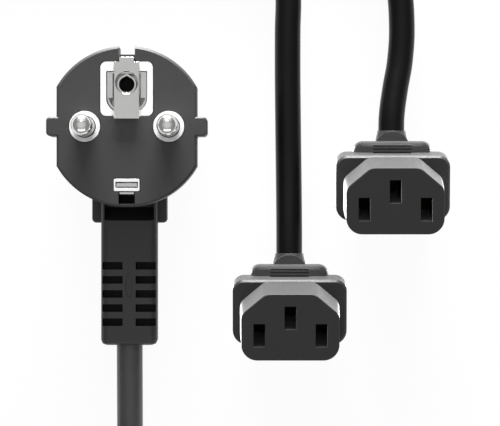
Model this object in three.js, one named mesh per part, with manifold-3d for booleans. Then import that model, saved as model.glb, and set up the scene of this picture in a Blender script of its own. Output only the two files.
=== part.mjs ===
// Power cord splitter: an angled two-pin earthed plug, one trunk cord, a moulded Y junction and two
// three-slot appliance connectors on short leads. It lies on a flat surface, in millimetres, +Z up.
// The origin is the middle of the plug's flat back, and the pins point up.

import * as THREE from 'three';
import { mergeVertices } from 'three/addons/utils/BufferGeometryUtils.js';
import Module from 'manifold-3d';

const wasm = await Module();
wasm.setup();

// Fits
const SEAT_GAP = 0.3; // moulding to a piece sealed inside it
const FACE_GAP = 0.15; // moulding to a piece that shows flush in its face
const BEYOND = 1; // how far a cut runs past the surface that it opens

// Plug moulding
const PLUG_RADIUS = 18.2;
const PLUG_FLAT = 15.85; // axis to each side flat
const PLUG_FACE_Z = 29;
const DISC_DEPTH = 16.5;
const DISC_EDGE = 0.5;
const EAR_HALF_HEIGHT = 2.15;
const EAR_CORNER = 0.9;
const EAR_EDGE = 0.3;
const BACK_RADIUS = 16.1;
const BACK_SIDES = 48;
const BACK_OVERLAP = 2.5; // the back part runs this far up inside the disc
const BACK_EDGE = 2.4;
const GRIP_RADIUS = 16;
const GRIP_DEPTH = 1.7; // finger hollow on each side of the back
const GRIP_LIP = 0.6; // left between the hollow and the disc
const NOTCH_HALF_WIDTH = 1.85;
const NOTCH_THROUGH_Y = 16.8; // beyond this the top notch goes right through
const LOW_RIM = 0.7; // rim left beyond the recess at the lower blade

// Plug neck and strain relief
const WING_HALF_WIDTH = 8.7;
const WING_END = -21.8;
const WING_HEIGHT = 6.4;
const WING_CORNER = 1;
const WING_EDGE = 0.6;
const RELIEF_WIDTH = 13;
const RELIEF_END = -50;
// Low stretch of the neck behind the disc, which slopes up to the raised part
const NECK_HOLLOW = { width: 11.4, start: -15.5, slope: -18.2, end: -21.3, floor: 4.5 };
const RELIEF_BOTTOM = 0.4;
const RELIEF_TOP = 10.6;
const RELIEF_CORNER = 2;
const RELIEF_EDGE = 1.2;
const GROOVE_COUNT = 5;
const GROOVE_PITCH = 3.25;
const GROOVE_WIDTH = 1.75;
const GROOVE_FIRST = -31.7; // middle of the groove nearest the disc
const GROOVE_FLOOR = 2.6;
const GROOVE_WALL = 0.35; // thin wall that closes each groove at the side
const RELIEF_WEB = 3; // solid spine between the two rows of grooves
const GATE_MARK = { width: 1.7, length: 5.9, y: -36.2, depth: 0.3 };

// Pins and the pale carrier that holds them
const PIN_SPACING = 19;
const PIN_RADIUS = 2.4;
const PIN_LENGTH = 19;
const PIN_DOME = 1.9;
const PIN_TAIL_RADIUS = 1.7;
const PIN_TAIL_LENGTH = 6;
const COLLAR_RADIUS = 3.5;
const CARRIER_RADIUS = 13.6;
const CARRIER_BOTTOM = 19;
const CARRIER_THICK = 3.4;

// Earth socket in the plug face
const FRAME = { width: 11.85, low: 2.4, high: 14.6, corner: 1.3, side: 1.3, top: 2.1, bottom: 0.9 };
const EARTH_HOLE_RADIUS = 2.55;
const EARTH_HOLE_Y = 9.9;
const STRAP_THICK = 0.5;
const STRAP_LIFT = 0.15; // tongue above the plug face
const TONGUE_WIDTH = 5.7;
const TONGUE_END = 1.76;
const TONGUE_BEND_Y = 6;
const TONGUE_RISE = 0.7;
const CONTACT_WIDTH = 3.4; // strap where it runs down the rim
const CONTACT_TOP_Y = 15.65;
const CONTACT_LOW_Y = -15.3;
const STRAP_RUN_Z = 11.2; // strap where it crosses behind the carrier
const CLIP_FLOOR_Z = 13;
const CLIP_WALL = 0.4;
const CLIP_TOP_Z = 27.9;
const CLIP_BAR = 1.3; // folded flange beside the tongue
const CLIP_BAR_END = 6.5;
const CLIP_CORNER = 3;
const BARREL_RADIUS = 2.15;
const BARREL_Y = 9.5;
const BARREL_TIP_Y = 12;
const BARREL_TOP_Z = 28.5;
const LOW_FRAME = { width: 5.8, low: -14.6, high: -11.8, wall: 0.72, side: 0.36 };

// Appliance connectors
const TILT = THREE.MathUtils.degToRad(8.5); // the moulding's back is cut this far off square
const SHOULDER_Z = 17; // middle of the shoulder's front above the surface
const NOSE_LENGTH = 16;
const NOSE_HALF_WIDTH = 11.05;
const NOSE_HALF_HEIGHT = 7.6;
const NOSE_TOP_HALF = 5.5;
const NOSE_SIDE_TOP = 2.9;
const NOSE_LOW_CORNER = 3.6;
const NOSE_CORNER = 1.2;
const NOSE_DRAFT = 0.03; // the nose is this share larger at its root
const NOSE_EDGE = 0.15;
const ROOT_DEPTH = 6;
const ROOT_INSET = 1.2; // the root is this much smaller than the nose all round
const SLOT_WIDTH = 2.65;
const SLOT_HEIGHT = 5.3;
const SLOT_SIDE = 7;
const SLOT_LOW = -1.9;
const SLOT_HIGH = 2.1;
const SLOT_WALL = 1.8; // face thickness in front of each contact
const CONTACT_CELL = { width: 4, height: 6.2 };
const CONTACT_LEAF = 0.4;
const SHOULDER_HALF_WIDTH = 13.05;
const SHOULDER_HIGH = 8.1;
const SHOULDER_LOW = -7;
const SHOULDER_LOW_CORNER = 3.4;
const SHOULDER_DEPTH = 8;
const SHOULDER_CORNER = 2.6;
const SHOULDER_EDGE = 0.5;
const BLOCK_HALF_WIDTH = 8.9;
const BLOCK_LOW = -7;
const BLOCK_HIGH = 11.5;
const BLOCK_TOP = 13;
const BLOCK_CORNER = 2;
const BLOCK_EDGE = 1.2;
const BLOCK_RIDGES = 3;
const RIDGE = { halfWidth: 4.4, width: 0.35, depth: 0.3, pitch: 0.75 };
const HOOD_RADIUS = 4.3;
const HOOD_LOW = 0.6;
const HOOD_Y = 9.4;
const HOOD_TOP = 11;
const SLEEVE_END = 14;
const SLEEVE_ROOT_RADIUS = 3.9;
const SLEEVE_TIP_RADIUS = 3.35;
const LEAD_AXIS_Z = 5;

// Y junction
const JUNCTION_X = -52;
const LEAD_SPACING = 7;
const JUNCTION_HIGH = 13;
const JUNCTION_LOW = -21;
const JUNCTION_HALF_WIDTH = 9.5;
const JUNCTION_NECK = 5.5;
const JUNCTION_HEIGHT = 10.6;
const JUNCTION_EDGE = 2;
const JUNCTION_CORNER = 3;
const JUNCTION_SWELL = 6; // full width starts this far above the middle
const JUNCTION_SLEEVE = 20;
const JUNCTION_ROOT_RADIUS = 4;

// Cords
const CORD_DIAMETER = 6;
const CORD_SIDES = 10;
const CORD_GAP = 0.3;
const COIL_CENTRE = [-33, -108];
const COIL_RADIUS = 30;
const COIL_WIDTH = 12;
const COIL_HEIGHT = 12.1;

// Where each connector's shoulder stands
const CONNECTORS = [
  { name: 'a', x: 36.95, y: -42.9 },
  { name: 'b', x: 60.6, y: -14.5 },
];

const COLOURS = {
  housing: { color: 0x4a4a4a, roughness: 0.55, metalness: 0 },
  carrier: { color: 0xeeeeea, roughness: 0.4, metalness: 0 },
  nickel: { color: 0xc9c8c4, roughness: 0.22, metalness: 1 },
  insert: { color: 0x343434, roughness: 0.6, metalness: 0 },
  brass: { color: 0xb59a5c, roughness: 0.35, metalness: 1 },
  cord: { color: 0x101010, roughness: 0.4, metalness: 0 },
};

const assembly = new THREE.Group();

// Solids

function solidOf(geometry) {
  const bare = geometry.clone();
  bare.deleteAttribute('normal');
  bare.deleteAttribute('uv');
  const merged = mergeVertices(bare, 1e-4);
  return new wasm.Manifold(
    new wasm.Mesh({
      numProp: 3,
      vertProperties: Float32Array.from(merged.attributes.position.array),
      triVerts: Uint32Array.from(merged.index.array),
    }),
  );
}

function geometryOf(manifold) {
  const mesh = manifold.getMesh();
  const geometry = new THREE.BufferGeometry();
  geometry.setAttribute('position', new THREE.BufferAttribute(mesh.vertProperties, 3));
  geometry.setIndex(new THREE.BufferAttribute(mesh.triVerts, 1));
  geometry.computeVertexNormals();
  return geometry;
}

function joined(...solids) {
  return solids.reduce((whole, solid) => whole.add(solid));
}

function without(body, ...cuts) {
  return cuts.reduce((left, cut) => left.subtract(cut), body);
}

function add(name, solid, finish, place) {
  const geometry = solid.isBufferGeometry ? solid : geometryOf(solid);
  if (place) geometry.applyMatrix4(place);
  const mesh = new THREE.Mesh(geometry, new THREE.MeshStandardMaterial(COLOURS[finish]));
  mesh.name = name;
  assembly.add(mesh);
}

// An outline drawn on the XY plane and raised from one height to another, with both rims bevelled
function prism(shape, low, high, edge = 0, rounds = 1, curve = 10) {
  const geometry = new THREE.ExtrudeGeometry(shape, {
    depth: high - low - 2 * edge,
    bevelEnabled: edge > 0,
    bevelThickness: edge,
    bevelSize: edge,
    bevelOffset: -edge,
    bevelSegments: rounds,
    curveSegments: curve,
  });
  geometry.translate(0, 0, low + edge);
  return solidOf(geometry);
}

function box(x0, x1, y0, y1, z0, z1) {
  const geometry = new THREE.BoxGeometry(x1 - x0, y1 - y0, z1 - z0);
  geometry.translate((x0 + x1) / 2, (y0 + y1) / 2, (z0 + z1) / 2);
  return solidOf(geometry);
}

function cylinder(x, y, radius, low, high, sides = 32) {
  const geometry = new THREE.CylinderGeometry(radius, radius, high - low, sides);
  geometry.rotateX(Math.PI / 2);
  geometry.translate(x, y, (low + high) / 2);
  return solidOf(geometry);
}

// An outline of [y, z] pairs given a width across X, centred on the axis
function sideProfile(points, width) {
  const outline = new THREE.Shape(points.map(([y, z]) => new THREE.Vector2(y, z)));
  const geometry = new THREE.ExtrudeGeometry(outline, { depth: width, bevelEnabled: false });
  geometry.rotateZ(Math.PI / 2);
  geometry.rotateY(Math.PI / 2);
  geometry.translate(-width / 2, 0, 0);
  return solidOf(geometry);
}

// A profile of [radius, along] pairs turned about the Y direction, at a given height
function sleeve(profile, x, z, sides = 24) {
  const geometry = new THREE.LatheGeometry(profile.map(([r, y]) => new THREE.Vector2(r, y)), sides);
  geometry.translate(x, 0, z);
  return solidOf(geometry);
}

function roundedBox(halfWidth, low, high, topCorner, lowCorner = topCorner) {
  const shape = new THREE.Shape();
  shape.moveTo(-halfWidth + lowCorner, low);
  shape.lineTo(halfWidth - lowCorner, low);
  shape.absarc(halfWidth - lowCorner, low + lowCorner, lowCorner, -Math.PI / 2, 0, false);
  shape.lineTo(halfWidth, high - topCorner);
  shape.absarc(halfWidth - topCorner, high - topCorner, topCorner, 0, Math.PI / 2, false);
  shape.lineTo(-halfWidth + topCorner, high);
  shape.absarc(-halfWidth + topCorner, high - topCorner, topCorner, Math.PI / 2, Math.PI, false);
  shape.lineTo(-halfWidth, low + lowCorner);
  shape.absarc(-halfWidth + lowCorner, low + lowCorner, lowCorner, Math.PI, 1.5 * Math.PI, false);
  return shape;
}

// Plug

function plugOutline() {
  const meet = Math.acos(PLUG_FLAT / PLUG_RADIUS);
  const shape = new THREE.Shape();
  shape.moveTo(PLUG_FLAT, PLUG_RADIUS * Math.sin(meet));
  shape.absarc(0, 0, PLUG_RADIUS, meet, Math.PI - meet, false);
  shape.lineTo(-PLUG_FLAT, -PLUG_RADIUS * Math.sin(meet));
  shape.absarc(0, 0, PLUG_RADIUS, Math.PI + meet, 2 * Math.PI - meet, false);
  shape.closePath();
  return shape;
}

function carrier(gap) {
  const top = PLUG_FACE_Z + (gap > 0 ? BEYOND : 0);
  const root = CARRIER_BOTTOM + CARRIER_THICK - 0.4;
  const frame = roundedBox(FRAME.width / 2 + gap, FRAME.low - gap, FRAME.high + gap, FRAME.corner);
  const low = roundedBox(LOW_FRAME.width / 2 + gap, LOW_FRAME.low - gap, LOW_FRAME.high + gap, 0.3);
  const half = PIN_SPACING / 2;
  return joined(
    cylinder(0, 0, CARRIER_RADIUS + gap, CARRIER_BOTTOM - gap, CARRIER_BOTTOM + CARRIER_THICK + gap, 48),
    cylinder(-half, 0, COLLAR_RADIUS + gap, root, top, 40),
    cylinder(half, 0, COLLAR_RADIUS + gap, root, top, 40),
    prism(frame, root, top, 0, 1, 5),
    prism(low, root, top, 0, 1, 3),
  );
}

function recess(gap) {
  const halfWidth = FRAME.width / 2 - FRAME.side - gap;
  return roundedBox(halfWidth, FRAME.low + FRAME.bottom + gap, FRAME.high - FRAME.top - gap, 0.2, CLIP_CORNER);
}

function pin(gap) {
  const radius = PIN_RADIUS + gap;
  const tail = PIN_TAIL_RADIUS + gap;
  const tailLow = CARRIER_BOTTOM - PIN_TAIL_LENGTH - gap;
  const tip = PLUG_FACE_Z + PIN_LENGTH;
  const profile = [[0, tailLow], [tail, tailLow], [tail, CARRIER_BOTTOM - gap], [radius, CARRIER_BOTTOM - gap]];
  for (let i = 0; i <= 7; i += 1) {
    const angle = (i / 7) * (Math.PI / 2);
    const r = i === 7 ? 0 : radius * Math.cos(angle);
    profile.push([r, tip - PIN_DOME + PIN_DOME * Math.sin(angle)]);
  }
  const geometry = new THREE.LatheGeometry(profile.map(([r, z]) => new THREE.Vector2(r, z)), 28);
  geometry.rotateX(Math.PI / 2);
  return solidOf(geometry);
}

// The strap: tongue over the socket, down the top rim, behind the carrier and up the lower rim
function strap(gap) {
  const half = CONTACT_WIDTH / 2 + gap;
  const thick = STRAP_THICK + gap;
  const faceZ = PLUG_FACE_Z + STRAP_LIFT;
  const low = STRAP_RUN_Z - gap;
  const parts = [
    box(-half, half, CONTACT_TOP_Y - thick, CONTACT_TOP_Y + gap, low, faceZ + STRAP_THICK + gap),
    box(-half, half, CONTACT_LOW_Y - gap, CONTACT_TOP_Y + gap, low, STRAP_RUN_Z + thick),
    box(-half, half, CONTACT_LOW_Y - gap, CONTACT_LOW_Y + thick, low, PLUG_FACE_Z - 0.5 + gap),
    box(-half, half, FRAME.high - 1, CONTACT_TOP_Y + gap, faceZ - gap, faceZ + STRAP_THICK + gap),
    blade(gap),
  ];
  return joined(...parts, tongue(gap));
}

function tongue(gap) {
  const faceZ = PLUG_FACE_Z + STRAP_LIFT;
  const low = faceZ - gap;
  const high = faceZ + STRAP_THICK + gap;
  const plate = sideProfile([
    [FRAME.high, low], [TONGUE_BEND_Y, low], [TONGUE_END, low + TONGUE_RISE],
    [TONGUE_END, high + TONGUE_RISE], [TONGUE_BEND_Y, high], [FRAME.high, high],
  ], TONGUE_WIDTH + 2 * gap);
  return plate.subtract(cylinder(0, EARTH_HOLE_Y, EARTH_HOLE_RADIUS, faceZ - BEYOND, faceZ + 2, 32));
}

function neckHollow(top) {
  const { width, start, slope, end, floor } = NECK_HOLLOW;
  return sideProfile([[start, floor], [slope, floor], [end, RELIEF_TOP], [end, top], [start, top]], width);
}

// The strap's lower end, folded up inside the small pale frame
function blade(gap) {
  const y = (LOW_FRAME.low + LOW_FRAME.high) / 2;
  const half = LOW_FRAME.width / 2 - LOW_FRAME.side - FACE_GAP;
  return box(-half - gap, half + gap, y - 0.45 - gap, y + 0.45 + gap, STRAP_RUN_Z - gap, PLUG_FACE_Z - 0.7 + gap);
}

function teardrop(radius, tipY) {
  const lean = Math.acos(radius / (tipY - BARREL_Y));
  const shape = new THREE.Shape();
  shape.moveTo(0, tipY);
  shape.absarc(0, BARREL_Y, radius, Math.PI / 2 - lean, -1.5 * Math.PI + lean, true);
  shape.lineTo(0, tipY);
  return shape;
}

function clip(gap) {
  const outer = prism(recess(FACE_GAP - gap), CLIP_FLOOR_Z - gap, CLIP_TOP_Z, 0, 1, 6);
  if (gap > 0) return outer;
  const halfWidth = FRAME.width / 2 - FRAME.side - FACE_GAP;
  const inner = prism(recess(FACE_GAP + CLIP_WALL), CLIP_FLOOR_Z + CLIP_WALL, CLIP_TOP_Z + BEYOND, 0, 1, 6);
  const cup = without(
    outer,
    inner,
    box(-halfWidth - 1, halfWidth + 1, 0, CLIP_BAR_END, CLIP_TOP_Z - 1.2, CLIP_TOP_Z + BEYOND),
  );
  const high = FRAME.high - FRAME.top - FACE_GAP;
  const bars = [-1, 1].map((side) => {
    const edges = [side * (halfWidth - 0.1), side * (halfWidth - CLIP_BAR)].sort((a, b) => a - b);
    return box(edges[0], edges[1], CLIP_BAR_END, high - 0.1, CLIP_TOP_Z - CLIP_WALL, CLIP_TOP_Z);
  });
  const barrel = prism(teardrop(BARREL_RADIUS, BARREL_TIP_Y), CLIP_FLOOR_Z + CLIP_WALL / 2, BARREL_TOP_Z);
  const bore = teardrop(BARREL_RADIUS - CLIP_WALL, BARREL_TIP_Y - 1.4 * CLIP_WALL);
  const hollow = prism(bore, CLIP_FLOOR_Z - BEYOND, BARREL_TOP_Z + BEYOND);
  return joined(cup, ...bars, barrel).subtract(hollow);
}

function plugBody() {
  const disc = prism(plugOutline(), PLUG_FACE_Z - DISC_DEPTH, PLUG_FACE_Z, DISC_EDGE, 1, 20);
  const earBar = roundedBox(PLUG_RADIUS, -EAR_HALF_HEIGHT, EAR_HALF_HEIGHT, EAR_CORNER);
  const backTop = PLUG_FACE_Z - DISC_DEPTH + BACK_OVERLAP;
  const back = new THREE.Shape().setFromPoints(new THREE.EllipseCurve(0, 0, BACK_RADIUS, BACK_RADIUS)
    .getPoints(BACK_SIDES).slice(0, -1));
  const wings = roundedBox(WING_HALF_WIDTH, WING_END, 0, WING_CORNER);
  const section = roundedBox(RELIEF_WIDTH / 2, RELIEF_BOTTOM, RELIEF_TOP, RELIEF_CORNER);
  const slab = new THREE.ExtrudeGeometry(section, {
    depth: -RELIEF_END - 2 * RELIEF_EDGE,
    bevelThickness: RELIEF_EDGE,
    bevelSize: RELIEF_EDGE,
    bevelOffset: -RELIEF_EDGE,
    bevelSegments: 2,
    curveSegments: 4,
  });
  slab.rotateX(Math.PI / 2);
  slab.translate(0, -RELIEF_EDGE, 0);
  const mass = joined(
    disc,
    prism(earBar, PLUG_FACE_Z - DISC_DEPTH, PLUG_FACE_Z, EAR_EDGE, 1, 4),
    prism(back, 0, backTop, BACK_EDGE, 2),
    prism(wings, 0, WING_HEIGHT, WING_EDGE, 2, 4),
    solidOf(slab),
  );
  const cuts = [];
  for (const side of [-1, 1]) {
    const gripX = side * (BACK_RADIUS - GRIP_DEPTH + GRIP_RADIUS);
    cuts.push(cylinder(gripX, 0, GRIP_RADIUS, -BEYOND, PLUG_FACE_Z - DISC_DEPTH - GRIP_LIP, 28));
    for (let i = 0; i < GROOVE_COUNT; i += 1) {
      const y = GROOVE_FIRST - i * GROOVE_PITCH;
      const x = [side * RELIEF_WEB / 2, side * (RELIEF_WIDTH / 2 - GROOVE_WALL)].sort((a, b) => a - b);
      cuts.push(box(x[0], x[1], y - GROOVE_WIDTH / 2, y + GROOVE_WIDTH / 2, GROOVE_FLOOR, RELIEF_TOP + BEYOND));
    }
    const pinCut = pin(SEAT_GAP).translate([side * PIN_SPACING / 2, 0, 0]);
    cuts.push(pinCut);
  }
  const mark = cylinder(0, 0, GATE_MARK.width / 2, RELIEF_TOP - GATE_MARK.depth, RELIEF_TOP + BEYOND, 20)
    .scale([1, GATE_MARK.length / GATE_MARK.width, 1])
    .translate([0, GATE_MARK.y, 0]);
  const discLow = PLUG_FACE_Z - DISC_DEPTH;
  const notchTop = FRAME.high - 0.1;
  const recessLow = -PLUG_RADIUS + LOW_RIM;
  cuts.push(
    mark,
    box(-NOTCH_HALF_WIDTH, NOTCH_HALF_WIDTH, notchTop, PLUG_RADIUS + BEYOND, backTop, PLUG_FACE_Z + BEYOND),
    box(-NOTCH_HALF_WIDTH, NOTCH_HALF_WIDTH, NOTCH_THROUGH_Y, PLUG_RADIUS + BEYOND, discLow - BEYOND, PLUG_FACE_Z),
    box(-NOTCH_HALF_WIDTH, NOTCH_HALF_WIDTH, recessLow, LOW_FRAME.low + 0.1, backTop, PLUG_FACE_Z + BEYOND),
    neckHollow(discLow),
    carrier(FACE_GAP),
    strap(SEAT_GAP),
    clip(SEAT_GAP),
  );
  return without(mass, ...cuts);
}

function plug() {
  const half = PIN_SPACING / 2;
  add('plug_body', plugBody(), 'housing');
  const lowSlot = LOW_FRAME.width / 2 - LOW_FRAME.side;
  const slotZ = CARRIER_BOTTOM - BEYOND;
  const openings = [
    prism(recess(0), slotZ, PLUG_FACE_Z + BEYOND, 0, 1, 6),
    box(-lowSlot, lowSlot, LOW_FRAME.low + LOW_FRAME.wall, LOW_FRAME.high - LOW_FRAME.wall, slotZ, PLUG_FACE_Z + BEYOND),
    cylinder(-half, 0, PIN_RADIUS + FACE_GAP, slotZ, PLUG_FACE_Z + BEYOND, 40),
    cylinder(half, 0, PIN_RADIUS + FACE_GAP, slotZ, PLUG_FACE_Z + BEYOND, 40),
  ];
  add('pin_carrier', without(carrier(0), ...openings), 'carrier');
  add('pin_left', pin(0).translate([-half, 0, 0]), 'nickel');
  add('pin_right', pin(0).translate([half, 0, 0]), 'nickel');
  add('earth_strap', strap(0), 'nickel');
  add('earth_socket', clip(0), 'nickel');
}

// Connectors

function noseOutline(grow) {
  const half = NOSE_HALF_WIDTH + grow;
  const high = NOSE_HALF_HEIGHT + grow;
  const topHalf = NOSE_TOP_HALF + grow * 0.4;
  const sideTop = NOSE_SIDE_TOP + grow * 0.4;
  const slope = new THREE.Vector2(half - topHalf, sideTop - high).normalize().multiplyScalar(NOSE_CORNER);
  const shape = new THREE.Shape();
  shape.moveTo(-topHalf + NOSE_CORNER, high);
  shape.quadraticCurveTo(-topHalf, high, -topHalf - slope.x, high + slope.y);
  shape.lineTo(-half + slope.x, sideTop - slope.y);
  shape.quadraticCurveTo(-half, sideTop, -half, sideTop - NOSE_CORNER);
  shape.lineTo(-half, -high + NOSE_LOW_CORNER);
  shape.absarc(-half + NOSE_LOW_CORNER, -high + NOSE_LOW_CORNER, NOSE_LOW_CORNER, Math.PI, 1.5 * Math.PI, false);
  shape.lineTo(half - NOSE_LOW_CORNER, -high);
  shape.absarc(half - NOSE_LOW_CORNER, -high + NOSE_LOW_CORNER, NOSE_LOW_CORNER, -Math.PI / 2, 0, false);
  shape.lineTo(half, sideTop - NOSE_CORNER);
  shape.quadraticCurveTo(half, sideTop, half - slope.x, sideTop - slope.y);
  shape.lineTo(topHalf + slope.x, high + slope.y);
  shape.quadraticCurveTo(topHalf, high, topHalf - NOSE_CORNER, high);
  shape.closePath();
  return shape;
}

function slotPlaces() {
  return [
    { name: 'left', x: -SLOT_SIDE, y: SLOT_LOW },
    { name: 'right', x: SLOT_SIDE, y: SLOT_LOW },
    { name: 'earth', x: 0, y: SLOT_HIGH },
  ];
}

function insert() {
  const nose = new THREE.ExtrudeGeometry(noseOutline(0), {
    depth: NOSE_LENGTH - 2 * NOSE_EDGE,
    bevelThickness: NOSE_EDGE,
    bevelSize: NOSE_EDGE,
    bevelOffset: -NOSE_EDGE,
    bevelSegments: 1,
    curveSegments: 6,
  });
  nose.translate(0, 0, NOSE_EDGE);
  const corners = nose.attributes.position;
  for (let i = 0; i < corners.count; i += 1) {
    const grow = 1 + NOSE_DRAFT * (1 - corners.getZ(i) / NOSE_LENGTH);
    corners.setXY(i, corners.getX(i) * grow, corners.getY(i) * grow);
  }
  const root = prism(noseOutline(-ROOT_INSET), -ROOT_DEPTH, NOSE_EDGE + 0.5, 0, 1, 6);
  const cell = CONTACT_CELL;
  const cuts = slotPlaces().flatMap(({ x, y }) => [
    box(x - SLOT_WIDTH / 2, x + SLOT_WIDTH / 2, y - SLOT_HEIGHT / 2, y + SLOT_HEIGHT / 2, 1, NOSE_LENGTH + BEYOND),
    box(
      x - cell.width / 2, x + cell.width / 2, y - cell.height / 2, y + cell.height / 2,
      -ROOT_DEPTH - BEYOND, NOSE_LENGTH - SLOT_WALL,
    ),
  ]);
  return without(joined(solidOf(nose), root), ...cuts);
}

function contact({ x, y }) {
  const halfWidth = CONTACT_CELL.width / 2 - SEAT_GAP;
  const halfHeight = CONTACT_CELL.height / 2 - SEAT_GAP;
  const low = -ROOT_DEPTH + SEAT_GAP;
  const high = NOSE_LENGTH - SLOT_WALL - SEAT_GAP;
  return joined(
    box(x - halfWidth, x - halfWidth + CONTACT_LEAF, y - halfHeight, y + halfHeight, low, high),
    box(x + halfWidth - CONTACT_LEAF, x + halfWidth, y - halfHeight, y + halfHeight, low, high),
    box(x - halfWidth, x + halfWidth, y - halfHeight, y + halfHeight, low, low + CONTACT_LEAF),
  );
}

function connectorBody(tiltUp) {
  const shoulder = prism(
    roundedBox(SHOULDER_HALF_WIDTH, SHOULDER_LOW, SHOULDER_HIGH, SHOULDER_CORNER, SHOULDER_LOW_CORNER),
    -SHOULDER_DEPTH, 0, SHOULDER_EDGE, 1, 5,
  ).transform(tiltUp.elements);
  const pocket = prism(noseOutline(SEAT_GAP - ROOT_INSET), -ROOT_DEPTH - SEAT_GAP, BEYOND, 0, 1, 6)
    .transform(tiltUp.elements);
  const block = prism(roundedBox(BLOCK_HALF_WIDTH, BLOCK_LOW, BLOCK_HIGH, BLOCK_CORNER), 0, BLOCK_TOP, BLOCK_EDGE, 2, 4);
  const hood = cylinder(0, HOOD_Y, HOOD_RADIUS, HOOD_LOW, HOOD_TOP, 24);
  const root = HOOD_Y - BEYOND;
  const lead = sleeve(
    [[0, root], [SLEEVE_ROOT_RADIUS, root], [SLEEVE_ROOT_RADIUS, BLOCK_HIGH], [SLEEVE_TIP_RADIUS, SLEEVE_END],
      [0, SLEEVE_END]],
    0, LEAD_AXIS_Z,
  );
  const ridges = [];
  for (let i = 0; i < BLOCK_RIDGES; i += 1) {
    const y = BLOCK_HIGH - 1 - i * RIDGE.pitch;
    ridges.push(box(-RIDGE.halfWidth, RIDGE.halfWidth, y - RIDGE.width, y, BLOCK_TOP - RIDGE.depth, BLOCK_TOP + BEYOND));
  }
  return without(joined(shoulder, block, hood, lead), pocket, ...ridges);
}

function connector({ name, x, y }) {
  const tiltUp = new THREE.Matrix4().makeRotationX(TILT).setPosition(0, 0, SHOULDER_Z);
  const place = new THREE.Matrix4().makeTranslation(x, y, 0);
  const tilted = place.clone().multiply(tiltUp);
  const lifted = tilted.clone().multiply(new THREE.Matrix4().makeTranslation(0, 0, FACE_GAP));
  add(`connector_${name}_body`, connectorBody(tiltUp), 'housing', place);
  add(`connector_${name}_insert`, insert(), 'insert', lifted);
  for (const slot of slotPlaces()) add(`connector_${name}_contact_${slot.name}`, contact(slot), 'brass', lifted);
}

// Y junction

function junction() {
  const outline = new THREE.Shape();
  const low = JUNCTION_LOW;
  const high = JUNCTION_HIGH;
  const middle = (low + high) / 2;
  const half = JUNCTION_HALF_WIDTH;
  const neck = JUNCTION_NECK;
  const corner = JUNCTION_CORNER;
  const swell = middle + JUNCTION_SWELL;
  const dip = middle - JUNCTION_SWELL;
  outline.moveTo(-neck, low);
  outline.bezierCurveTo(-neck, (low + dip) / 2, -half, dip, -half, swell);
  outline.lineTo(-half, high - corner);
  outline.quadraticCurveTo(-half, high, -half + corner, high);
  outline.lineTo(half - corner, high);
  outline.quadraticCurveTo(half, high, half, high - corner);
  outline.lineTo(half, swell);
  outline.bezierCurveTo(half, dip, neck, (low + dip) / 2, neck, low);
  outline.closePath();
  const sleeveOf = (x, from, to) => {
    const ends = [[0, from], [JUNCTION_ROOT_RADIUS, from], [SLEEVE_TIP_RADIUS, to], [0, to]];
    return sleeve(from < to ? ends : ends.reverse(), x, LEAD_AXIS_Z);
  };
  const solid = joined(
    prism(outline, 0, JUNCTION_HEIGHT, JUNCTION_EDGE, 2, 5),
    sleeveOf(0, low + 2, low - JUNCTION_SLEEVE),
    sleeveOf(-LEAD_SPACING / 2, high - 2, high + JUNCTION_SLEEVE),
    sleeveOf(LEAD_SPACING / 2, high - 2, high + JUNCTION_SLEEVE),
  );
  add('y_junction', solid, 'housing', new THREE.Matrix4().makeTranslation(JUNCTION_X, 0, 0));
}

// Cords: routes chosen by hand, on the surface that the part lies on

const TRUNK_START = [[0, -50.3, 5.5], [0, -56, 5.2], [0, -63, 4.2], [0, -70, 3.3], [0, -79, 3.1], [0, -87.4, 3.1]];
const TRUNK_END = [
  [-66, -87.3, 7.6], [-65.4, -79, 5.8], [-63.2, -70, 4.1], [-59.4, -62, 3.3], [-55.2, -55, 3.5], [-52.6, -49, 4.3],
  [-52, -44, 4.9], [-52, -41.3, 5],
];
const LEAD_A = [
  [36.95, -28.6, 5], [36.95, -24, 4.9], [36.9, -16, 4], [36.8, -7, 3.2], [36.7, 2, 3.1], [36.6, 12, 3.1], [36.6, 22, 3.1], [36.6, 33, 3.1], [34.8, 42.2, 3.1], [29.6, 50, 3.1],
  [21.8, 55.2, 3.1], [12.6, 57, 3.1], [-6, 57, 3.1], [-24.5, 57, 3.1], [-33.7, 55.2, 3.1], [-41.5, 50, 3.3],
  [-46.7, 43, 4.2], [-48.4, 37.5, 4.8], [-48.5, 35, 5], [-48.5, 33.3, 5],
];
const LEAD_B = [
  [60.6, -0.2, 5], [60.7, 3, 4.9], [61.5, 9, 4.1], [62.7, 16, 3.2], [63.1, 25, 3.1], [62.2, 34, 3.1], [59, 44.9, 3.1], [51.5, 54.9, 3.1], [41.5, 61.6, 3.1],
  [29.6, 64, 3.1], [10, 64, 3.1], [-8, 64, 3.1], [-24.5, 64, 3.1], [-36.4, 61.6, 3.1], [-46.4, 54.9, 3.3],
  [-53.4, 44.9, 4.2], [-55.4, 38, 4.8], [-55.5, 35, 5], [-55.5, 33.3, 5],
];

function cord(name, points) {
  const path = new THREE.CatmullRomCurve3(points.map((p) => new THREE.Vector3(...p)), false, 'centripetal');
  const section = new THREE.Shape();
  for (let i = 0; i < CORD_SIDES; i += 1) {
    const angle = (2 * Math.PI * i) / CORD_SIDES;
    const at = [(CORD_DIAMETER / 2) * Math.cos(angle), (CORD_DIAMETER / 2) * Math.sin(angle)];
    if (i === 0) section.moveTo(...at);
    else section.lineTo(...at);
  }
  const steps = Math.max(3, Math.round(path.getLength() / (2 * CORD_DIAMETER)));
  add(name, solidOf(new THREE.ExtrudeGeometry(section, { steps, extrudePath: path, curveSegments: 1 })), 'cord');
}

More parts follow.
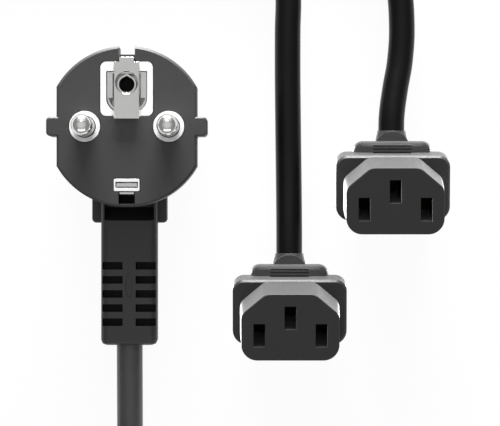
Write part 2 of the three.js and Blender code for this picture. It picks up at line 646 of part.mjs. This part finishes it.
function coil() {
  const inner = COIL_RADIUS - COIL_WIDTH / 2;
  const outer = COIL_RADIUS + COIL_WIDTH / 2;
  const profile = [[inner, 0], [outer, 0], [outer, COIL_HEIGHT], [inner, COIL_HEIGHT], [inner, 0]];
  const geometry = new THREE.LatheGeometry(profile.map(([r, z]) => new THREE.Vector2(r, z)), 48);
  geometry.rotateX(Math.PI / 2);
  geometry.translate(...COIL_CENTRE, 0);
  add('trunk_coil', solidOf(geometry), 'cord');
}

plug();
for (const place of CONNECTORS) connector(place);
junction();
cord('trunk_start', TRUNK_START);
coil();
cord('trunk_end', TRUNK_END);
cord('lead_a', LEAD_A);
cord('lead_b', LEAD_B);

export default assembly;
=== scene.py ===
"""The looks of the power cord splitter: cords, fine edges on mouldings and metal, and its finishes."""

import math

import bmesh
import bpy
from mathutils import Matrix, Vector


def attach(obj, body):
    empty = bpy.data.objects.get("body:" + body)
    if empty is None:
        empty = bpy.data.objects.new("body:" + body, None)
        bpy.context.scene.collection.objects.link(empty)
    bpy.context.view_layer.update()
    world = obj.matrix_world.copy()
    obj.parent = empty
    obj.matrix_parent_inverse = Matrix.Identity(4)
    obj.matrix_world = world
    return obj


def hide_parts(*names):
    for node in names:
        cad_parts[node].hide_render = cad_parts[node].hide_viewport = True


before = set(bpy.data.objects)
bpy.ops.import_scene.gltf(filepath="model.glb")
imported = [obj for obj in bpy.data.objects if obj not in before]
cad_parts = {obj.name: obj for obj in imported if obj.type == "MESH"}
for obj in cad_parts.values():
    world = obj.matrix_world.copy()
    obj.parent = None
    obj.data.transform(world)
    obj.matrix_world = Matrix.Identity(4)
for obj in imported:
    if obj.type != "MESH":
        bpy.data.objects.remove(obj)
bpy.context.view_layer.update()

MM = 0.001

# The camera looks straight down. Its lens and sensor are in millimetres, the rest in metres
VIEW_CENTRE = Vector((27.86, -19.55)) * MM
CAMERA_HEIGHT = 929 * MM
FOCAL_MM = 287.0
SENSOR_MM = 36.0
CLIP_NEAR = 0.05
CLIP_FAR = 10.0

# The floor and the sky: shares of white, sizes in metres, and where the sky's sides end and its top starts
FLOOR_WHITE = 0.95
FLOOR_GREY = 0.85
FLOOR_HALF = 1.5
FLOOR_DROP = 0.2 * MM
WORLD_SIDES = 0.34
WORLD_TOP = 0.85
SIDES_END = 0.65
TOP_START = 0.95

# Lamps, each with its place, target, width and height in metres, and its power in watts
OBJECT_MIDDLE = (0.03, 0.0, 0.02)
PINS_MIDDLE = (0.0, 0.0, 0.03)
LAMPS = {
    "key": ((0.03, 0.8, 0.62), OBJECT_MIDDLE, (1.4, 0.5), 1.0),
    "low_back": ((0.03, 1.2, 0.24), OBJECT_MIDDLE, (0.7, 0.22), 66.0),
    "front": ((0.03, -0.8, 0.62), OBJECT_MIDDLE, (1.2, 0.4), 1.8),
    "spot": ((0.0, 0.46, 0.62), PINS_MIDDLE, (0.22, 0.14), 0.4),
}

# Fine edges: how near two points are one, how flat two faces are one, and which creases are rounded
MERGE_WITHIN = 0.002 * MM
FLAT_DEGREES = 1.0
CREASE_DEGREES = 32.0
PIN_CREASE_DEGREES = 50.0
EDGE_SEGMENTS = 2
EVEN_WEIGHT = 100

# Patterns of the finishes: cells to a metre
MOULDING_PATCHES = 90.0
JACKET_WAVES = 160.0
JACKET_GRAIN = 2600.0
NICKEL_CLOUD = 220.0
NICKEL_MARKS = 1800.0
BRASS_CLOUD = 400.0

# Finishes: how patterns are mixed, how far roughness varies, how deep bumps are, and the metals' tints, with
# the contacts' brass darkened to painted shade
COARSE_SHARE = 0.6
FINE_SHARE = 0.4
MOULDING_SPREAD = 0.16
MOULDING_SHEEN_ROUGHNESS = 0.3
JACKET_ROUGHNESS = 0.3
JACKET_SPREAD = 0.1
JACKET_DEPTH = 0.05 * MM
NICKEL_SPREAD = 0.12
NICKEL_DEPTH = 0.01 * MM
NICKEL_CLOUDING = 16
NICKEL_BLUE_SHARE = 0.98
# Painted shade: the contacts' brass is coloured nearly black, far darker than brass, to stand for the shade
# deep in the slots
SHADED_BRASS_LOW = (0.02, 0.015, 0.008)
SHADED_BRASS_HIGH = (0.05, 0.036, 0.016)
BRASS_ROUGHNESS = 0.35
BRASS_SPREAD = 0.2
PAPER_ROUGHNESS = 0.9

# Cords: half a cord's width, and the curve's steps
CORD_RADIUS = 3.0 * MM
CORD_RING_STEPS = 6
CORD_LENGTH_STEPS = 8

# The round coil of spare trunk cord, in millimetres: its turns lie in four slots, two below and two above
COIL_CENTRE = Vector((-33, -108))
COIL_OUTER = 33.0
COIL_INNER = 27.0
COIL_LOW = 3.1
COIL_HIGH = 9.1
COIL_SLOTS = [
    (COIL_OUTER, COIL_LOW), (COIL_INNER, COIL_LOW),
    (COIL_INNER, COIL_HIGH), (COIL_OUTER, COIL_HIGH),
]
COIL_TURNS = 3.5
TURN_POINTS = 20
SHIFT_SHARE = 0.25

# The routes of the source's cords, in millimetres, with each end carried on into its sleeve
TRUNK_START = [
    (0, -49, 5.5), (0, -50.3, 5.5), (0, -56, 5.2), (0, -63, 4.2), (0, -70, 3.3), (0, -79, 3.1),
    (0, -87.4, 3.1),
]
TRUNK_END = [
    (-66, -87.3, 7.6), (-65.4, -79, 5.8), (-63.2, -70, 4.1), (-59.4, -62, 3.3), (-55.2, -55, 3.5),
    (-52.6, -49, 4.3), (-52, -44, 4.9), (-52, -41.3, 5), (-52, -39.5, 5),
]
LEAD_A = [
    (36.95, -30.4, 5), (36.95, -28.6, 5), (36.95, -24, 4.9), (36.9, -16, 4), (36.8, -7, 3.2), (36.7, 2, 3.1),
    (36.6, 12, 3.1), (36.6, 22, 3.1), (36.6, 33, 3.1), (34.8, 42.2, 3.1), (29.6, 50, 3.1), (21.8, 55.2, 3.1),
    (12.6, 57, 3.1), (-6, 57, 3.1), (-24.5, 57, 3.1), (-33.7, 55.2, 3.1), (-41.5, 50, 3.3), (-46.7, 43, 4.2),
    (-48.4, 37.5, 4.8), (-48.5, 35, 5), (-48.5, 33.3, 5), (-48.5, 31.5, 5),
]
LEAD_B = [
    (60.6, -2, 5), (60.6, -0.2, 5), (60.7, 3, 4.9), (61.5, 9, 4.1), (62.7, 16, 3.2), (63.1, 25, 3.1),
    (62.2, 34, 3.1), (59, 44.9, 3.1), (51.5, 54.9, 3.1), (41.5, 61.6, 3.1), (29.6, 64, 3.1), (10, 64, 3.1),
    (-8, 64, 3.1), (-24.5, 64, 3.1), (-36.4, 61.6, 3.1), (-46.4, 54.9, 3.3), (-53.4, 44.9, 4.2),
    (-55.4, 38, 4.8), (-55.5, 35, 5), (-55.5, 33.3, 5), (-55.5, 31.5, 5),
]


def link(obj):
    bpy.context.scene.collection.objects.link(obj)
    return obj


# Camera


def make_camera():
    data = bpy.data.cameras.new("camera")
    data.sensor_width = SENSOR_MM
    data.lens = FOCAL_MM
    data.clip_start = CLIP_NEAR
    data.clip_end = CLIP_FAR
    camera = link(bpy.data.objects.new("camera", data))
    camera.location = (VIEW_CENTRE.x, VIEW_CENTRE.y, CAMERA_HEIGHT)
    bpy.context.scene.camera = camera


# Shader graphs


class Value:
    """A shader socket that adds and multiplies into maths nodes."""

    def __init__(self, graph, socket):
        self.graph = graph
        self.socket = socket

    def _math(self, operation, other, swapped=False):
        pair = [self.socket, other.socket if isinstance(other, Value) else other]
        if swapped:
            pair.reverse()
        return self.graph.node("ShaderNodeMath", {"operation": operation}, dict(enumerate(pair))).out("Value")

    def __add__(self, other):
        return self._math("ADD", other)

    def __radd__(self, other):
        return self._math("ADD", other, swapped=True)

    def __mul__(self, other):
        return self._math("MULTIPLY", other)

    def __rmul__(self, other):
        return self._math("MULTIPLY", other, swapped=True)


class Made:
    """A node whose outputs are taken by name."""

    def __init__(self, graph, node):
        self.graph = graph
        self.node = node

    def out(self, name):
        return Value(self.graph, self.node.outputs[name])


class Graph:
    """A node tree that takes a node's type, its settings and the values or links of its sockets."""

    def __init__(self, tree):
        self.tree = tree

    def node(self, kind, settings=None, inputs=None):
        node = self.tree.nodes.new(kind)
        for key, value in (settings or {}).items():
            setattr(node, key, value)
        for key, value in (inputs or {}).items():
            self.put(node.inputs[key], value)
        return Made(self, node)

    def put(self, target, value):
        if isinstance(value, Value):
            value = value.socket
        if isinstance(value, bpy.types.NodeSocket):
            self.tree.links.new(value, target)
        else:
            target.default_value = value


class Finish(Graph):
    """A new material's node tree, round its principled shader."""

    def __init__(self, name):
        self.material = bpy.data.materials.new(name)
        self.material.use_nodes = True
        super().__init__(self.material.node_tree)
        self.shader = self.tree.nodes["Principled BSDF"]

    def surface(self, **inputs):
        for name, value in inputs.items():
            self.put(self.shader.inputs[name.replace("_", " ")], value)

    def noise(self, scale, detail=2.0, roughness=0.5):
        place = self.node("ShaderNodeTexCoord").out("Object")
        inputs = {"Vector": place, "Scale": scale, "Detail": detail, "Roughness": roughness}
        return self.node("ShaderNodeTexNoise", {}, inputs).out("Fac")

    def blend(self, factor, low, high):
        mix = self.node("ShaderNodeMix", {"data_type": "RGBA"}, {"Factor": factor})
        colours = [socket for socket in mix.node.inputs if socket.type == "RGBA"]
        self.put(colours[0], (*low, 1.0))
        self.put(colours[1], (*high, 1.0))
        result = [socket for socket in mix.node.outputs if socket.type == "RGBA"][0]
        return Value(self, result)

    def bump(self, height, distance):
        return self.node("ShaderNodeBump", {}, {"Height": height, "Distance": distance}).out("Normal")


def grey(level):
    """The linear value of a grey between 0 and 255."""
    share = level / 255.0
    return ((share + 0.055) / 1.055) ** 2.4 if share > 0.04045 else share / 12.92


def plastic(name, dark, pale, roughness, grain, depth, sheen=0.0, gloss=0.5):
    """A moulded plastic: two near greys in soft patches, with a fine spark-eroded grain."""
    finish = Finish(name)
    patches = finish.noise(MOULDING_PATCHES, detail=3.0)
    fine = finish.noise(grain, detail=3.0, roughness=0.6)
    colour = finish.blend(patches * COARSE_SHARE + fine * FINE_SHARE, [grey(dark)] * 3, [grey(pale)] * 3)
    rough = fine * MOULDING_SPREAD + (roughness - MOULDING_SPREAD / 2)
    finish.surface(Base_Color=colour, Roughness=rough, Normal=finish.bump(fine, depth))
    finish.surface(Sheen_Weight=sheen, Sheen_Roughness=MOULDING_SHEEN_ROUGHNESS)
    finish.surface(Specular_IOR_Level=gloss)
    return finish.material


def jacket(name, dark, pale, gloss):
    """The cord's smooth PVC, with faint waves where the conductors lie under it."""
    finish = Finish(name)
    waves = finish.noise(JACKET_WAVES)
    fine = finish.noise(JACKET_GRAIN)
    colour = finish.blend(waves, [grey(dark)] * 3, [grey(pale)] * 3)
    normal = finish.bump(waves * COARSE_SHARE + fine * FINE_SHARE, JACKET_DEPTH)
    rough = fine * JACKET_SPREAD + JACKET_ROUGHNESS
    finish.surface(Base_Color=colour, Roughness=rough, Normal=normal)
    finish.surface(Specular_IOR_Level=gloss)
    return finish.material


def nickel(name, level, roughness):
    """Plated metal with faint marks of drawing and handling, a trace warmer than grey."""
    finish = Finish(name)
    cloud = finish.noise(NICKEL_CLOUD, detail=4.0)
    marks = finish.noise(NICKEL_MARKS, detail=3.0, roughness=0.7)
    low = grey(level - NICKEL_CLOUDING)
    high = grey(level)
    colour = finish.blend(cloud, (low, low, low * NICKEL_BLUE_SHARE), (high, high, high * NICKEL_BLUE_SHARE))
    rough = marks * NICKEL_SPREAD + roughness
    normal = finish.bump(marks, NICKEL_DEPTH)
    finish.surface(Base_Color=colour, Metallic=1.0, Roughness=rough, Normal=normal)
    return finish.material


def brass():
    """Rough brass of the contacts deep in the slots, coloured nearly black as painted shade of the slots."""
    finish = Finish("contact_brass_painted_shade")
    cloud = finish.noise(BRASS_CLOUD, detail=3.0)
    # The colour is painted shade: two near tones of brass darkened nearly to black for the deep slots
    colour = finish.blend(cloud, SHADED_BRASS_LOW, SHADED_BRASS_HIGH)
    finish.surface(Base_Color=colour, Metallic=1.0, Roughness=cloud * BRASS_SPREAD + BRASS_ROUGHNESS)
    return finish.material


# Pieces


def smooth_copy(name, node, crease, flatten):
    """A CAD node's mesh with its points merged, its flat stretches as one face and its creases sharp."""
    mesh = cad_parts[node].data.copy()
    mesh.name = name
    mesh.materials.clear()
    work = bmesh.new()
    work.from_mesh(mesh)
    bmesh.ops.remove_doubles(work, verts=work.verts, dist=MERGE_WITHIN)
    if flatten:
        bmesh.ops.dissolve_limit(
            work, angle_limit=math.radians(FLAT_DEGREES), verts=work.verts, edges=work.edges
        )
    for face in work.faces:
        face.smooth = True
    work.to_mesh(mesh)
    work.free()
    mesh.set_sharp_from_angle(angle=math.radians(crease))
    return mesh


def round_edges(piece, edge, crease):
    """Bevels a piece's creases to this width and shades its flat faces evenly."""
    bevel = piece.modifiers.new("edges", "BEVEL")
    bevel.width = edge
    bevel.segments = EDGE_SEGMENTS
    bevel.limit_method = "ANGLE"
    bevel.angle_limit = math.radians(crease)
    bevel.use_clamp_overlap = True
    even = piece.modifiers.new("even_shading", "WEIGHTED_NORMAL")
    even.weight = EVEN_WEIGHT
    even.keep_sharp = True
    evaluated = piece.evaluated_get(bpy.context.evaluated_depsgraph_get())
    piece.data = bpy.data.meshes.new_from_object(evaluated)
    piece.modifiers.clear()


def moulding(name, node, material, edge=0.0, crease=CREASE_DEGREES, flatten=True):
    """A piece in place of a CAD node, with the node's shape and its creases rounded."""
    piece = link(bpy.data.objects.new(name, smooth_copy(name, node, crease, flatten)))
    if edge > 0:
        round_edges(piece, edge, crease)
    piece.data.materials.clear()
    piece.data.materials.append(material)
    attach(piece, "root")
    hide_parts(node)
    return piece


def coil_route():
    """Clockwise turns that fill the slots one after another, moving over in the last part of each turn."""
    points = []
    for i in range(int(COIL_TURNS * TURN_POINTS) + 1):
        turn, step = divmod(i, TURN_POINTS)
        share = step / TURN_POINTS
        here = COIL_SLOTS[turn]
        there = COIL_SLOTS[min(turn + 1, len(COIL_SLOTS) - 1)]
        move = max(0.0, (share - 1 + SHIFT_SHARE) / SHIFT_SHARE)
        move = move * move * (3 - 2 * move)
        radius = here[0] + (there[0] - here[0]) * move
        height = here[1] + (there[1] - here[1]) * move
        angle = -2 * math.pi * i / TURN_POINTS
        points.append((
            COIL_CENTRE.x + radius * math.cos(angle),
            COIL_CENTRE.y + radius * math.sin(angle),
            height,
        ))
    return points


def cord(name, route, material, nodes):
    """A round cord along a route in millimetres, in place of the CAD nodes that lie there."""
    data = bpy.data.curves.new(name, "CURVE")
    data.dimensions = "3D"
    data.bevel_depth = CORD_RADIUS
    data.bevel_resolution = CORD_RING_STEPS
    data.resolution_u = CORD_LENGTH_STEPS
    data.use_fill_caps = True
    spline = data.splines.new("BEZIER")
    spline.bezier_points.add(len(route) - 1)
    for point, at in zip(spline.bezier_points, route):
        point.co = Vector(at) * MM
        point.handle_left_type = "AUTO"
        point.handle_right_type = "AUTO"
    data.materials.append(material)
    piece = link(bpy.data.objects.new(name, data))
    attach(piece, "root")
    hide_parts(*nodes)
    bpy.context.view_layer.update()
    return piece


def make_cords():
    trunk_jacket = jacket("trunk_jacket", dark=66, pale=80, gloss=0.5)
    lead_jacket = jacket("lead_jacket", dark=5, pale=11, gloss=0.18)
    trunk = TRUNK_START + coil_route() + TRUNK_END
    cord("trunk_cord", trunk, trunk_jacket, ["trunk_start", "trunk_coil", "trunk_end"])
    cord("lead_cord_a", LEAD_A, lead_jacket, ["lead_a"])
    cord("lead_cord_b", LEAD_B, lead_jacket, ["lead_b"])


def make_mouldings():
    face = plastic("plug_pvc", dark=44, pale=52, roughness=0.5, grain=2600.0, depth=0.02 * MM)
    shoulder = plastic(
        "connector_pvc", dark=42, pale=56, roughness=0.46, grain=1500.0, depth=0.05 * MM,
        sheen=0.7, gloss=0.3,
    )
    nose = plastic(
        "nose_plastic", dark=38, pale=44, roughness=0.56, grain=3000.0, depth=0.015 * MM,
        sheen=0.8, gloss=0.35,
    )
    pale = plastic("carrier_plastic", dark=214, pale=226, roughness=0.35, grain=3000.0, depth=0.005 * MM)
    bright = nickel("pin_nickel", level=240, roughness=0.1)
    sheet = nickel("strap_nickel", level=226, roughness=0.1)
    # The contacts' colour carries painted shade of the deep slots
    contact = brass()
    moulding("plug_moulding", "plug_body", face, 0.25 * MM)
    moulding("carrier_moulding", "pin_carrier", pale, 0.12 * MM)
    for side in ("left", "right"):
        moulding(f"plug_pin_{side}", f"pin_{side}", bright, crease=PIN_CREASE_DEGREES, flatten=False)
    moulding("strap_sheet", "earth_strap", sheet, 0.08 * MM)
    moulding("socket_sheet", "earth_socket", sheet, 0.06 * MM)
    moulding("junction_moulding", "y_junction", shoulder, 0.3 * MM)
    for name in ("a", "b"):
        moulding(f"connector_{name}_moulding", f"connector_{name}_body", shoulder, 0.35 * MM)
        moulding(f"connector_{name}_nose", f"connector_{name}_insert", nose, 0.1 * MM)
        for slot in ("left", "right", "earth"):
            moulding(f"connector_{name}_leaf_{slot}", f"connector_{name}_contact_{slot}", contact)


# The room


def make_floor():
    """Pale paper, whose own white shows to the camera and in reflections, with a trace of shadow."""
    mesh = bpy.data.meshes.new("floor")
    corners = [(x * FLOOR_HALF, y * FLOOR_HALF, 0) for x, y in ((-1, -1), (1, -1), (1, 1), (-1, 1))]
    mesh.from_pydata(corners, [], [(0, 1, 2, 3)])
    floor = link(bpy.data.objects.new("floor", mesh))
    floor.location.z = -FLOOR_DROP
    finish = Finish("floor_paper")
    finish.surface(Base_Color=(FLOOR_GREY, FLOOR_GREY, FLOOR_GREY, 1), Roughness=PAPER_ROUGHNESS)
    path = finish.node("ShaderNodeLightPath")
    seen = path.out("Is Camera Ray") + path.out("Is Glossy Ray") + path.out("Is Transmission Ray")
    white = finish.node("ShaderNodeEmission", {}, {"Color": (1, 1, 1, 1), "Strength": 1.0})
    inputs = {0: seen * FLOOR_WHITE, 1: finish.shader.outputs["BSDF"], 2: white.out("Emission")}
    mix = finish.node("ShaderNodeMixShader", {}, inputs)
    output = [node for node in finish.tree.nodes if node.type == "OUTPUT_MATERIAL"][0]
    finish.put(output.inputs["Surface"], mix.out("Shader"))
    mesh.materials.append(finish.material)


def make_world():
    """Soft light, dim round the horizon and bright overhead, where the camera hangs."""
    world = bpy.data.worlds.new("room")
    world.use_nodes = True
    graph = Graph(world.node_tree)
    graph.tree.nodes.clear()
    place = graph.node("ShaderNodeTexCoord").out("Generated")
    height = graph.node("ShaderNodeSeparateXYZ", {}, {0: place}).out("Z")
    heights = {"From Min": SIDES_END, "From Max": TOP_START}
    strengths = {"To Min": WORLD_SIDES, "To Max": WORLD_TOP}
    strength = graph.node("ShaderNodeMapRange", {}, {"Value": height, **heights, **strengths}).out("Result")
    sky = graph.node("ShaderNodeBackground", {}, {"Strength": strength}).out("Background")
    graph.node("ShaderNodeOutputWorld", {}, {"Surface": sky})
    bpy.context.scene.world = world


def make_lamp(name, place, target, size, power):
    data = bpy.data.lights.new(name, "AREA")
    data.shape = "RECTANGLE"
    data.size, data.size_y = size
    data.energy = power
    lamp = link(bpy.data.objects.new(name, data))
    lamp.location = place
    lamp.rotation_euler = (Vector(target) - Vector(place)).to_track_quat("-Z", "Y").to_euler()


make_camera()
make_cords()
make_mouldings()
make_floor()
make_world()
for name, (place, target, size, power) in LAMPS.items():
    make_lamp(name, place, target, size, power)

bpy.context.scene.view_settings.view_transform = "Standard"
